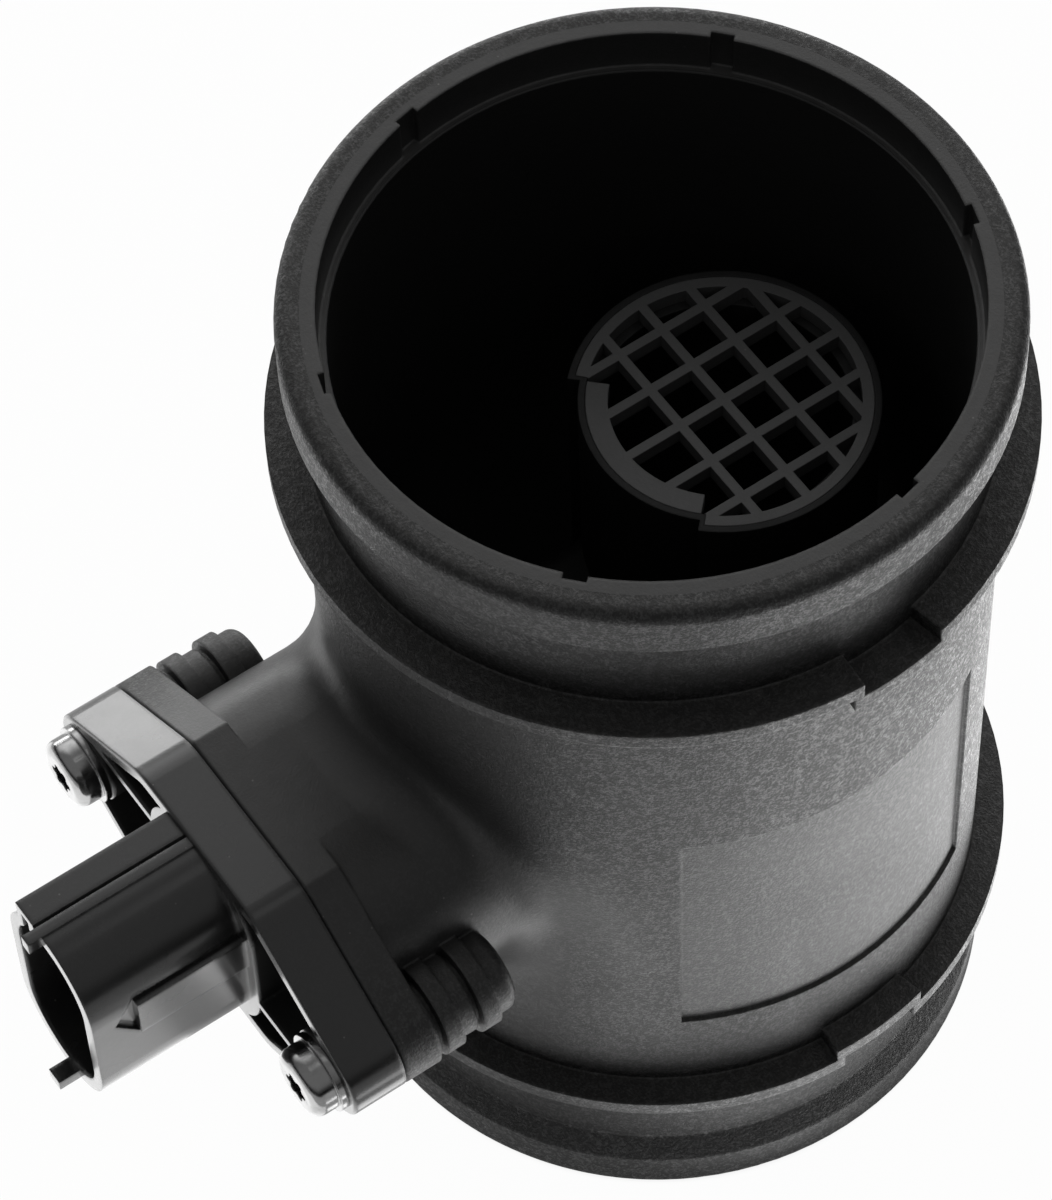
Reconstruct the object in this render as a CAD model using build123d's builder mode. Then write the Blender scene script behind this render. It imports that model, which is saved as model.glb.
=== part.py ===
from build123d import *
from math import cos, radians, sin
import os

# Mass airflow sensor: a clamp-on intake tube with a plug-in hot-film sensor module.
#
# Frame, in millimetres: +Z runs along the tube from its lower rim (z = 0) to its upper mouth, and the
# tube's axis is the Z axis. The port for the plug-in module points along -Y. Distances along the port
# are measured outward from the tube's axis, so a "reach" of 55 lies at y = -55.

os.makedirs("parts", exist_ok=True)

# --- driving dimensions: tube ------------------------------------------------------------------
tube_length = 129.0
bore_radius = 34.6
barrel_wall = 4.0
spigot_wall = 3.2
bead_rise = 2.2
bead_height = 6.4
bead_round = 1.7
mouth_step = 0.9
mouth_depth = 5.5
mouth_chamfer = 0.8
flange_rise = 4.4
flange_thickness = 2.2
upper_flange_setback = 19.8
lower_flange_setback = 23.2
jog_start = -5.0
jog_sweep = 17.5
jog_link = 1.5
notch_count = 6
notch_start = 12.0
notch_width = 2.6
notch_depth = 0.7
pad_height = 40.2
pad_centre = 59.2
pad_half_angle = 31.0
pad_depth = 0.5

# --- driving dimensions: port and the two bolted flanges ------------------------------------------
port_height = 61.0
port_face = 55.4
port_flange_thickness = 4.8
port_flange_bevel = 0.4
port_crown_round = 0.6
neck_width = 44.0
neck_height = 30.0
neck_fillet = 7.0
recess_width = 36.0
recess_height = 24.0
screw_spacing = 48.8
ear_radius = 6.0
crown_width = 22.8
module_crown_round = 6.0
module_flange_thickness = 6.8
module_flange_round = 0.4
stud_length = 11.2
stud_core_radius = 5.1
stud_ring_radius = 5.8
stud_ring_width = 2.2
stud_ring_pitch = 4.9
stud_ring_setback = 1.2
stud_groove_radius = 4.2
stud_groove_width = 0.6
stud_rings = 2
stud_tip_round = 1.4
pilot_radius = 1.9
pilot_depth = 12.0

# --- driving dimensions: measuring duct and its grille -------------------------------------------
duct_offset = 9.6
duct_radius = 17.5
duct_wall = 1.8
duct_top = 102.0
duct_bottom = 42.0
duct_lip_height = 3.0
duct_lip_step = 0.7
duct_inset = 1.4
duct_inset_half_angle = 45.0
arm_width = 20.0
arm_height = 28.4
arm_round = 3.0
rebate_wall = 0.8
rebate_turn = 2.0
grille_thickness = 2.0
grille_band = 1.3
grille_port_band = 2.5
grille_bar = 1.15
grille_pitch = 5.8
grille_side_bars = 2
grille_near_bars = 1
grille_far_bars = 2

# --- driving dimensions: plug-in module ----------------------------------------------------------
blade_width = 15.2
blade_height = 22.0
blade_overrun = 1.0
blade_round = 1.5
plug_clearance = 0.15
plug_length = 16.0
plug_end_gap = 0.4
plug_lead = 0.8
seal_width = 2.6
seal_depth = 1.9
seal_setback = 5.0
seal_bevel = 0.5
pocket_wall = 1.9
pocket_depth = 4.6
rib_rise = 6.4
rib_width = 1.2
shroud_width = 17.0
shroud_height = 28.4
shroud_wall = 1.7
shroud_length = 19.8
socket_floor = 4.0
key_shift = 4.2
key_width = 3.6
key_height = 7.0
key_wall = 1.1
groove_shift = 2.1
groove_width = 0.4
groove_depth = 0.8
rail_shift = 1.1
rail_width = 1.4
rail_height = 2.0
rail_rise = 0.3
rail_overrun = 1.8
latch_rise = 4.0
latch_width = 6.0
latch_height = 0.7
latch_sink = 1.0
latch_length = 14.2
latch_gap = 0.6
latch_gap_depth = 0.7
latch_tip = 2.8
tongue_shift = 1.4
tongue_root = 4.0
tongue_length = 2.7
tongue_width = 2.2
tongue_thickness = 1.6
pin_count = 5
pin_pitch = 4.0
pin_width = 1.6
pin_thickness = 0.8
pin_length = 43.0
pin_tail = 3.0
pin_point = 0.25
cavity_inner = 9.0
cavity_outer = 34.0
cavity_height = 18.0
cavity_drop = 3.6
cover_thickness = 1.6
base_thickness = 1.2
board_thickness = 0.8
board_corner = 1.0
bond_length = 1.6
bond_width = 0.9
chip_size = 7.0
chip_thickness = 1.2
chip_bevel = 0.15
chip_reach = 18.0
chip_rise = 1.5
capacitor_offset = 8.0
capacitor_pitch = 3.2
capacitor_count = 4
capacitor_length = 2.0
capacitor_width = 1.2
capacitor_thickness = 0.8
gel_depth = 3.2
cover_bevel = 0.3
cover_rim = 1.0
cover_rim_depth = 1.2

# --- driving dimensions: sensing elements and fasteners -----------------------------------------
carrier_thickness = 1.4
carrier_height = 9.0
carrier_overrun = 16.0
carrier_socket = 4.0
film_size = 5.0
film_thickness = 0.3
carrier_edge = 0.4
thermistor_radius = 1.1
thermistor_length = 3.0
thermistor_round = 0.88
lead_radius = 0.3
lead_length = 5.5
lead_spacing = 1.0
lead_socket = 3.0
thermistor_drop = 7.5
screw_head_radius = 4.3
screw_head_height = 3.0
screw_washer_radius = 4.9
screw_washer_thickness = 0.9
screw_shank_radius = 2.4
screw_hole_clearance = 0.25
screw_head_round = 1.4
socket_core_radius = 1.45
socket_lobe_radius = 0.5
socket_lobes = 6
socket_depth = 1.9

# --- named clearances, and how far a cutting shape runs past what it cuts -------------------------
fit = 0.05
slide = 0.3
cut_margin = 1.0

# --- values worked out from the driving dimensions -----------------------------------------------
upper_flange_top = tube_length - upper_flange_setback
upper_flange_bottom = upper_flange_top - flange_thickness
lower_flange_bottom = lower_flange_setback
lower_flange_top = lower_flange_bottom + flange_thickness
barrel_radius = bore_radius + barrel_wall
spigot_radius = bore_radius + spigot_wall
bead_radius = spigot_radius + bead_rise
flange_radius = spigot_radius + flange_rise
mouth_radius = bore_radius + mouth_step
wall_middle = bore_radius + spigot_wall / 2
screw_offset = screw_spacing / 2
port_flange_back = port_face - port_flange_thickness
recess_floor = port_face - plug_length - plug_end_gap
module_front = port_face + module_flange_thickness
shroud_mouth = module_front + shroud_length
shroud_side = shroud_width / 2
shroud_top = shroud_height / 2
latch_end = module_front + latch_length
blade_tip = -blade_overrun
carrier_tip = -carrier_overrun
cavity_floor = -cavity_drop
duct_bore = duct_radius - duct_inset - duct_wall
grille_radius = duct_radius - rebate_wall - fit


def port_plane(reach):
    """Plane across the port, its x along +X and its y along +Z, facing outward at this reach."""
    return Plane(origin=(0, -reach, port_height), x_dir=(1, 0, 0), z_dir=(0, -1, 0))


def spoke_plane(angle):
    """Upright plane through the tube's axis, its x pointing outward at this angle."""
    outward = (cos(radians(angle)), sin(radians(angle)), 0)
    across = (sin(radians(angle)), -cos(radians(angle)), 0)
    return Plane(origin=(0, 0, 0), x_dir=outward, z_dir=across)


def side_plane(x):
    """Plane facing +X at this x, at port height: its x runs inward along +Y and its y along +Z."""
    return Plane(origin=(x, 0, port_height), x_dir=(0, 1, 0), z_dir=(1, 0, 0))


def sector_band(angle, sweep, inner, outer, low, high, mode):
    """Add or cut a ring sector of rectangular section, from angle over sweep degrees."""
    with BuildSketch(spoke_plane(angle)) as section:
        with Locations(((inner + outer) / 2, (low + high) / 2)):
            Rectangle(outer - inner, high - low)
    revolve(section.sketch, axis=Axis.Z, revolution_arc=sweep, mode=mode)


def flange_outline(corner, inset=0.0):
    """Outline of the bolted flanges: an ear round each screw, hulled with a flat-topped crown."""
    with BuildSketch(mode=Mode.PRIVATE) as outline:
        with Locations((-screw_offset, 0), (screw_offset, 0)):
            Circle(ear_radius - inset)
        Rectangle(crown_width, neck_height - 2 * inset)
        make_hull()
        crown_corners = [v for v in outline.vertices() if abs(v.X) < screw_offset - ear_radius]
        fillet(crown_corners, radius=corner)
    return outline.sketch


def insert_disc(height, radius, inset, half_angle):
    """Disc about the measuring duct's axis, set in by inset over an arc that faces the port."""
    centre = (0, duct_offset)
    near = radius - inset
    start = -90 - half_angle
    with BuildSketch(Plane.XY.offset(height)) as disc:
        with BuildLine():
            far_arc = CenterArc(centre, radius, -90 + half_angle, 360 - 2 * half_angle)
            near_arc = CenterArc(centre, near, start, 2 * half_angle)
            Line(far_arc @ 1, near_arc @ 0)
            Line(near_arc @ 1, far_arc @ 0)
        make_face()
    return disc.sketch


# --- tube housing ---------------------------------------------------------------------------------
def on_barrel(edge):
    """Whether an edge starts and ends on the barrel, where the neck of the port runs into it."""
    ends = [(v.X ** 2 + v.Y ** 2) ** 0.5 for v in edge.vertices()]
    centre = edge.center()
    beside_port = abs(centre.Z - port_height) < neck_height and centre.Y < -bore_radius / 2
    return beside_port and bool(ends) and all(abs(r - barrel_radius) < fit for r in ends)


def stud_profile(plane):
    """Half section of one screw stud: a core with a groove before each ring, and a rounded tip."""
    outline = [(-port_flange_thickness / 2, 0), (-port_flange_thickness / 2, stud_core_radius)]
    for ring in range(stud_rings):
        ring_start = stud_ring_setback + ring * stud_ring_pitch
        ring_end = ring_start + stud_ring_width
        groove_start = ring_start - stud_groove_width
        outline += [(groove_start, stud_core_radius), (groove_start, stud_groove_radius)]
        outline += [(ring_start, stud_groove_radius), (ring_start, stud_ring_radius)]
        outline += [(ring_end, stud_ring_radius), (ring_end, stud_core_radius)]
    shoulder = (stud_length - stud_tip_round, stud_core_radius)
    tip = (stud_length, stud_core_radius - stud_tip_round)
    with BuildSketch(plane) as section:
        with BuildLine():
            Polyline(*outline, shoulder)
            RadiusArc(shoulder, tip, stud_tip_round)
            Polyline(tip, (stud_length, 0), outline[0])
        make_face()
    return section.sketch


with BuildPart() as tube_housing:
    # turned body: a bead at each mouth, a hose spigot, a thin flange and the barrel between them
    with BuildSketch(Plane.XZ):
        with BuildLine():
            Polyline(
                (0, 0),
                (bead_radius, 0),
                (bead_radius, bead_height),
                (spigot_radius, bead_height + bead_rise),
                (spigot_radius, lower_flange_bottom),
                (flange_radius, lower_flange_bottom),
                (flange_radius, lower_flange_top),
                (barrel_radius, lower_flange_top),
                (barrel_radius, upper_flange_bottom),
                (flange_radius, upper_flange_bottom),
                (flange_radius, upper_flange_top),
                (spigot_radius, upper_flange_top),
                (spigot_radius, tube_length - bead_height - bead_rise),
                (bead_radius, tube_length - bead_height),
                (bead_radius, tube_length),
                (0, tube_length),
                close=True,
            )
        make_face()
    revolve(axis=Axis.Z)
    fillet(edges().group_by(Axis.Z)[0], radius=bead_round)
    fillet(edges().group_by(Axis.Z)[-1], radius=bead_round)

    # neck of the port, blended into the barrel
    with BuildSketch(port_plane(port_flange_back)):
        SlotOverall(neck_width, neck_height)
    extrude(amount=-(port_flange_back - bore_radius / 2))
    fillet(edges().filter_by(on_barrel), radius=neck_fillet)

    # the jog: both thin flanges step towards the middle of the tube over one short arc
    for level, step in ((upper_flange_bottom, -flange_thickness), (lower_flange_bottom, flange_thickness)):
        sector_band(jog_start + jog_link, jog_sweep - 2 * jog_link, spigot_radius,
                    flange_radius + cut_margin, level, level + flange_thickness, Mode.SUBTRACT)
        sector_band(jog_start, jog_sweep, wall_middle, flange_radius,
                    level + step, level + step + flange_thickness, Mode.ADD)

    # shallow recessed pad on the barrel
    sector_band(-pad_half_angle, 2 * pad_half_angle, barrel_radius - pad_depth,
                barrel_radius + cut_margin, pad_centre - pad_height / 2, pad_centre + pad_height / 2,
                Mode.SUBTRACT)

    # port flange with its two screw studs, which are ribbed with moulded rings
    with BuildSketch(port_plane(port_flange_back)):
        add(flange_outline(port_crown_round))
    extrude(amount=port_flange_thickness)
    chamfer(faces().sort_by(Axis.Y)[0].edges(), length=port_flange_bevel)
    for side in (-1, 1):
        stud_plane = Plane(origin=(side * screw_offset, -port_flange_back, port_height),
                           x_dir=(0, 1, 0), z_dir=(1, 0, 0))
        revolve(stud_profile(stud_plane), axis=Axis(stud_plane.origin, stud_plane.x_dir))

    # bore from mouth to mouth, with the stepped upper mouth and its keying notches
    with BuildSketch(Plane.XY):
        Circle(bore_radius)
    extrude(amount=tube_length, mode=Mode.SUBTRACT)
    with BuildSketch(Plane.XY.offset(tube_length - mouth_depth)):
        Circle(mouth_radius)
    extrude(amount=mouth_depth, mode=Mode.SUBTRACT)
    with BuildSketch(Plane.XY.offset(tube_length - mouth_depth)):
        with PolarLocations(mouth_radius, notch_count, start_angle=notch_start):
            Rectangle(2 * notch_depth, notch_width)
    extrude(amount=mouth_depth, mode=Mode.SUBTRACT)
    chamfer(edges().group_by(Axis.Z)[0].sort_by(SortBy.RADIUS)[0], length=mouth_chamfer)

    # seat for the module's plug, and the narrower way through for its blade
    with BuildSketch(port_plane(port_face)):
        SlotOverall(recess_width, recess_height)
    extrude(amount=-(port_face - recess_floor), mode=Mode.SUBTRACT)
    with BuildSketch(port_plane(recess_floor)):
        RectangleRounded(blade_width + 2 * slide, blade_height + 2 * slide, blade_round)
    extrude(amount=-(recess_floor - bore_radius / 2), mode=Mode.SUBTRACT)

    # pilot holes for the two screws
    with BuildSketch(port_plane(port_face)):
        with Locations((-screw_offset, 0), (screw_offset, 0)):
            Circle(pilot_radius)
    extrude(amount=-pilot_depth, mode=Mode.SUBTRACT)

tube_housing.part.label = "tube_housing"
export_step(tube_housing.part, "parts/tube_housing.step")


# --- measuring duct: the inner tube and the hollow arm that carries it on the bore wall ------------
with BuildPart() as measuring_duct:
    extrude(insert_disc(duct_bottom, duct_radius, duct_inset, duct_inset_half_angle),
            amount=duct_top - duct_bottom)
    # hollow arm out to the bore wall, rounded to sit on it
    with BuildSketch(port_plane(0)):
        RectangleRounded(arm_width, arm_height, arm_round)
    extrude(amount=bore_radius)
    with BuildSketch(Plane.XY.offset(duct_bottom)):
        Circle(bore_radius)
    extrude(amount=duct_top - duct_bottom, mode=Mode.INTERSECT)
    # outlet lip, stepped in below the duct
    with BuildSketch(Plane.XY.offset(duct_bottom)):
        with Locations((0, duct_offset)):
            Circle(duct_radius + cut_margin)
            Circle(duct_radius - duct_inset - duct_lip_step, mode=Mode.SUBTRACT)
    extrude(amount=duct_lip_height, mode=Mode.SUBTRACT)
    # duct bore, with a rebate at the top for the grille
    with BuildSketch(Plane.XY.offset(duct_bottom)):
        with Locations((0, duct_offset)):
            Circle(duct_bore)
    extrude(amount=duct_top - duct_bottom, mode=Mode.SUBTRACT)
    extrude(
        insert_disc(duct_top - grille_thickness, duct_radius - rebate_wall, duct_inset,
                    duct_inset_half_angle + rebate_turn),
        amount=grille_thickness,
        mode=Mode.SUBTRACT,
    )
    # way through the arm for the module's blade
    with BuildSketch(port_plane(-duct_offset)):
        RectangleRounded(blade_width + 2 * slide, blade_height + 2 * slide, blade_round)
    extrude(amount=bore_radius + duct_offset + cut_margin, mode=Mode.SUBTRACT)

measuring_duct.part.label = "measuring_duct"
export_step(measuring_duct.part, "parts/measuring_duct.step")


# --- inlet grille: a square lattice inside a band, wider where it faces the port -------------------
with BuildPart() as inlet_grille:
    extrude(
        insert_disc(duct_top - grille_thickness, grille_radius, duct_inset,
                    duct_inset_half_angle + rebate_turn),
        amount=grille_thickness,
    )
    with BuildSketch(Plane.XY.offset(duct_top - grille_thickness)):
        with Locations((0, duct_offset)):
            Circle(grille_radius - grille_band)
        with BuildLine():
            port_arc = CenterArc((0, duct_offset), grille_radius, -90 - duct_inset_half_angle,
                                 2 * duct_inset_half_angle)
            Line((0, duct_offset), port_arc @ 0)
            Line((0, duct_offset), port_arc @ 1)
        make_face(mode=Mode.SUBTRACT)
        with Locations((0, duct_offset)):
            Circle(grille_radius - duct_inset - grille_port_band)
        for column in range(-grille_side_bars, grille_side_bars + 1):
            with Locations((column * grille_pitch, duct_offset)):
                Rectangle(grille_bar, 2 * grille_radius, mode=Mode.SUBTRACT)
        for row in range(-grille_near_bars, grille_far_bars + 1):
            with Locations((0, duct_offset + row * grille_pitch)):
                Rectangle(2 * grille_radius, grille_bar, mode=Mode.SUBTRACT)
    extrude(amount=grille_thickness, mode=Mode.SUBTRACT)

inlet_grille.part.label = "inlet_grille"
export_step(inlet_grille.part, "parts/inlet_grille.step")


# --- plug-in module: flange, connector shroud, plug and electronics blade in one moulding ----------
def slot_profile(reach, width, height, grow=0.0):
    """Upright or lying stadium across the port, grown evenly by an allowance."""
    turn = 90 if height > width else 0
    with BuildSketch(port_plane(reach)) as profile:
        SlotOverall(max(width, height) + 2 * grow, min(width, height) + 2 * grow, rotation=turn)
    return profile.sketch


def across_blade(low_x, inner, outer, half_height, thickness):
    """Box on the blade's side, from x = low_x, between two reaches and centred on the port's height."""
    with BuildSketch(side_plane(low_x)) as patch:
        with Locations((-(inner + outer) / 2, 0)):
            Rectangle(outer - inner, 2 * half_height)
    return extrude(patch.sketch, amount=thickness, mode=Mode.PRIVATE)


def pin_profile(reach):
    """Sections of the row of contact pins across the port."""
    with BuildSketch(port_plane(reach)) as row:
        with GridLocations(pin_pitch, pin_pitch, 1, pin_count):
            Rectangle(pin_thickness, pin_width)
    return row.sketch


with BuildPart() as module_body:
    # flange and plug
    with BuildSketch(port_plane(port_face)):
        add(flange_outline(module_crown_round))
    extrude(amount=module_flange_thickness)
    fillet(faces().sort_by(Axis.Y)[0].edges(), radius=module_flange_round)
    extrude(slot_profile(port_face, recess_width, recess_height, -plug_clearance), amount=-plug_length)
    fillet(faces().sort_by(Axis.Y)[-1].edges(), radius=plug_lead)
    extrude(slot_profile(port_face - seal_setback, recess_width, recess_height),
            amount=-seal_width, mode=Mode.SUBTRACT)
    extrude(slot_profile(port_face - seal_setback, recess_width, recess_height, -seal_depth),
            amount=-seal_width)

    # blade that reaches through the arm into the measuring duct
    with BuildSketch(port_plane(blade_tip)):
        RectangleRounded(blade_width, blade_height, blade_round)
    extrude(amount=port_face - blade_tip - plug_length + plug_lead)

    # pockets that core out the flange on both sides of the connector, each with one web left in
    for side in (-1, 1):
        with BuildSketch(port_plane(module_front)):
            add(flange_outline(module_crown_round - pocket_wall, pocket_wall))
            with Locations((side * screw_offset, 0)):
                Circle(ear_radius - pocket_wall / 2, mode=Mode.SUBTRACT)
            SlotOverall(shroud_height + 2 * pocket_wall, shroud_width + 2 * pocket_wall, rotation=90,
                        mode=Mode.SUBTRACT)
            with Locations((-side * screw_offset, 0)):
                Rectangle(screw_spacing, 2 * neck_height, mode=Mode.SUBTRACT)
            with Locations((0, -side * rib_rise)):
                Rectangle(2 * screw_spacing, rib_width, mode=Mode.SUBTRACT)
        extrude(amount=-pocket_depth, mode=Mode.SUBTRACT)

    # connector shroud: a tall rounded tube with a keyway ridge and, beside it, a guide rail
    extrude(slot_profile(module_front, shroud_width, shroud_height), amount=shroud_length)
    with BuildSketch(port_plane(module_front)):
        with Locations((-key_shift, shroud_top - key_height / 2)):
            Rectangle(key_width, key_height)
    extrude(amount=shroud_length)
    with BuildSketch(port_plane(module_front)):
        with Locations((-groove_shift, shroud_top)):
            Rectangle(groove_width, 2 * groove_depth)
    extrude(amount=shroud_length, mode=Mode.SUBTRACT)
    with BuildSketch(port_plane(module_front)):
        with Locations((-rail_shift, shroud_top + rail_rise - rail_height / 2)):
            Rectangle(rail_width, rail_height)
    extrude(amount=shroud_length + rail_overrun)

    # latch block on the shroud's side, lying in an arrow-shaped recess that points to the mouth
    recess_half = latch_width / 2 + latch_gap
    with BuildSketch(side_plane(shroud_side - latch_gap_depth)):
        with BuildLine():
            Polyline(
                (-module_front, latch_rise - recess_half),
                (-latch_end, latch_rise - recess_half),
                (-latch_end - latch_tip, latch_rise),
                (-latch_end, latch_rise + recess_half),
                (-module_front, latch_rise + recess_half),
                close=True,
            )
        make_face()
    extrude(amount=latch_gap_depth + cut_margin, mode=Mode.SUBTRACT)
    with BuildSketch(side_plane(shroud_side - latch_sink)):
        with Locations((-(module_front + latch_end) / 2, latch_rise)):
            Rectangle(latch_length, latch_width)
    extrude(amount=latch_sink + latch_height)

    # inside of the socket, its keyway, and the tongue that stands out of its lower wall
    extrude(slot_profile(shroud_mouth, shroud_width, shroud_height, -shroud_wall),
            amount=-(shroud_length - socket_floor), mode=Mode.SUBTRACT)
    with BuildSketch(port_plane(shroud_mouth)):
        with Locations((-key_shift, shroud_top - key_height / 2)):
            Rectangle(key_width - 2 * key_wall, key_height - 2 * key_wall)
    extrude(amount=-(shroud_length - socket_floor), mode=Mode.SUBTRACT)
    with BuildSketch(port_plane(shroud_mouth - tongue_root)):
        with Locations((tongue_shift, -(shroud_top - shroud_wall / 2))):
            Rectangle(tongue_width, tongue_thickness)
    extrude(amount=tongue_root + tongue_length)

    # clearance holes for the screws
    with BuildSketch(port_plane(module_front)):
        with Locations((-screw_offset, 0), (screw_offset, 0)):
            Circle(screw_shank_radius + screw_hole_clearance)
    extrude(amount=-module_flange_thickness, mode=Mode.SUBTRACT)

    # electronics cavity in the blade's +X side, open for its cover
    add(across_blade(cavity_floor, cavity_inner, cavity_outer, cavity_height / 2, blade_width),
        mode=Mode.SUBTRACT)
    # sockets for what the moulding carries: the contact pins, the sensor carrier and thermistor leads
    extrude(pin_profile(cavity_outer - pin_tail), amount=pin_length, mode=Mode.SUBTRACT)
    add(across_blade(-carrier_thickness / 2, blade_tip, blade_tip + carrier_socket,
                     carrier_height / 2, carrier_thickness), mode=Mode.SUBTRACT)
    with BuildSketch(port_plane(blade_tip)):
        with Locations((0, -thermistor_drop)):
            with GridLocations(lead_spacing, 0, 2, 1):
                Circle(lead_radius)
    extrude(amount=lead_socket, mode=Mode.SUBTRACT)

module_body.part.label = "module_body"
export_step(module_body.part, "parts/module_body.step")


# --- contact pins, moulded into the module from the socket through to the electronics --------------
for number in range(pin_count):
    rise = (number - (pin_count - 1) / 2) * pin_pitch
    with BuildPart() as contact_pin:
        with BuildSketch(port_plane(cavity_outer - pin_tail)):
            with Locations((0, rise)):
                Rectangle(pin_thickness, pin_width)
        extrude(amount=pin_length)
        chamfer(faces().sort_by(Axis.Y)[0].edges(), length=pin_point)
    contact_pin.part.label = f"contact_pin_{number + 1}"
    export_step(contact_pin.part, f"parts/contact_pin_{number + 1}.step")


# --- seal in the plug's groove ---------------------------------------------------------------------
with BuildPart() as port_seal:
    extrude(slot_profile(port_face - seal_setback - slide / 2, recess_width, recess_height, -fit),
            amount=-(seal_width - slide))
    chamfer(edges(), length=seal_bevel)
    extrude(slot_profile(port_face, recess_width, recess_height, -seal_depth),
            amount=-plug_length, mode=Mode.SUBTRACT)

port_seal.part.label = "port_seal"
export_step(port_seal.part, "parts/port_seal.step")


# --- electronics, stacked on the floor of the blade's cavity ---------------------------------------
base_top = cavity_floor + base_thickness
board_top = base_top + board_thickness
pin_under = -pin_thickness / 2
base_reach = cavity_outer - slide
base_plate = across_blade(cavity_floor, cavity_inner + slide, base_reach, cavity_height / 2 - slide,
                          base_thickness)
base_plate.label = "base_plate"
export_step(base_plate, "parts/base_plate.step")

with BuildPart() as circuit_board:
    add(across_blade(base_top, cavity_inner + slide, base_reach, cavity_height / 2 - slide,
                     board_thickness))
    chamfer(edges().filter_by(Axis.X), length=board_corner)

circuit_board.part.label = "circuit_board"
export_step(circuit_board.part, "parts/circuit_board.step")

with BuildPart() as bond_strips:
    with BuildSketch(side_plane(board_top)):
        with Locations((-(cavity_outer - pin_tail / 2), 0)):
            with GridLocations(pin_pitch, pin_pitch, 1, pin_count):
                Rectangle(bond_length, bond_width)
    extrude(amount=pin_under - board_top)

bond_strips.part.label = "bond_strips"
export_step(bond_strips.part, "parts/bond_strips.step")

with BuildPart() as control_chip:
    with BuildSketch(side_plane(board_top)):
        with Locations((-chip_reach, chip_rise)):
            Rectangle(chip_size, chip_size)
    extrude(amount=chip_thickness)
    chamfer(faces().sort_by(Axis.X)[-1].edges(), length=chip_bevel)

control_chip.part.label = "control_chip"
export_step(control_chip.part, "parts/control_chip.step")

with BuildPart() as board_capacitors:
    with BuildSketch(side_plane(board_top)):
        with Locations((-chip_reach - capacitor_offset, 0)):
            with GridLocations(0, capacitor_pitch, 1, capacitor_count):
                Rectangle(capacitor_length, capacitor_width)
    extrude(amount=capacitor_thickness)

board_capacitors.part.label = "board_capacitors"
export_step(board_capacitors.part, "parts/board_capacitors.step")

with BuildPart() as cavity_gel:
    add(across_blade(board_top, cavity_inner + slide, base_reach, cavity_height / 2 - slide,
                     gel_depth))
    add(bond_strips.part, mode=Mode.SUBTRACT)
    add(control_chip.part, mode=Mode.SUBTRACT)
    add(board_capacitors.part, mode=Mode.SUBTRACT)
    extrude(pin_profile(cavity_outer - pin_tail), amount=pin_length, mode=Mode.SUBTRACT)

cavity_gel.part.label = "cavity_gel"
export_step(cavity_gel.part, "parts/cavity_gel.step")

with BuildPart() as electronics_cover:
    add(across_blade(blade_width / 2 - cover_thickness, cavity_inner + fit, cavity_outer - fit,
                     cavity_height / 2 - fit, cover_thickness))
    chamfer(faces().sort_by(Axis.X)[-1].edges(), length=cover_bevel)
    add(across_blade(blade_width / 2 - cover_thickness - cover_rim_depth, cavity_inner + fit,
                     cavity_outer - fit, cavity_height / 2 - fit, cover_rim_depth))
    add(across_blade(blade_width / 2 - cover_thickness - cover_rim_depth, cavity_inner + cover_rim,
                     cavity_outer - cover_rim, cavity_height / 2 - cover_rim, cover_rim_depth),
        mode=Mode.SUBTRACT)

electronics_cover.part.label = "electronics_cover"
export_step(electronics_cover.part, "parts/electronics_cover.step")


# --- sensing elements in the measuring duct ---------------------------------------------------------
film_plane_x = carrier_thickness / 2
with BuildPart() as sensor_carrier:
    add(across_blade(-film_plane_x, carrier_tip, blade_tip + carrier_socket, carrier_height / 2,
                     carrier_thickness))
    add(across_blade(film_plane_x - film_thickness, -duct_offset - film_size / 2,
                     -duct_offset + film_size / 2, film_size / 2, film_thickness),
        mode=Mode.SUBTRACT)
    chamfer(faces().sort_by(Axis.Y)[-1].edges().filter_by(Axis.Z), length=carrier_edge)

sensor_carrier.part.label = "sensor_carrier"
export_step(sensor_carrier.part, "parts/sensor_carrier.step")

sensor_film = across_blade(film_plane_x - film_thickness, -duct_offset - film_size / 2,
                           -duct_offset + film_size / 2, film_size / 2, film_thickness)
sensor_film.label = "sensor_film"
export_step(sensor_film, "parts/sensor_film.step")

with BuildPart() as thermistor_leads:
    with BuildSketch(port_plane(blade_tip + lead_socket)):
        with Locations((0, -thermistor_drop)):
            with GridLocations(lead_spacing, 0, 2, 1):
                Circle(lead_radius)
    extrude(amount=-(lead_socket + lead_length))

thermistor_leads.part.label = "thermistor_leads"
export_step(thermistor_leads.part, "parts/thermistor_leads.step")

with BuildPart() as air_thermistor:
    with BuildSketch(port_plane(blade_tip - lead_length)):
        with Locations((0, -thermistor_drop)):
            Circle(thermistor_radius)
    extrude(amount=-thermistor_length)
    fillet(faces().sort_by(Axis.Y)[-1].edges(), radius=thermistor_round)

air_thermistor.part.label = "air_thermistor"
export_step(air_thermistor.part, "parts/air_thermistor.step")


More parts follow.
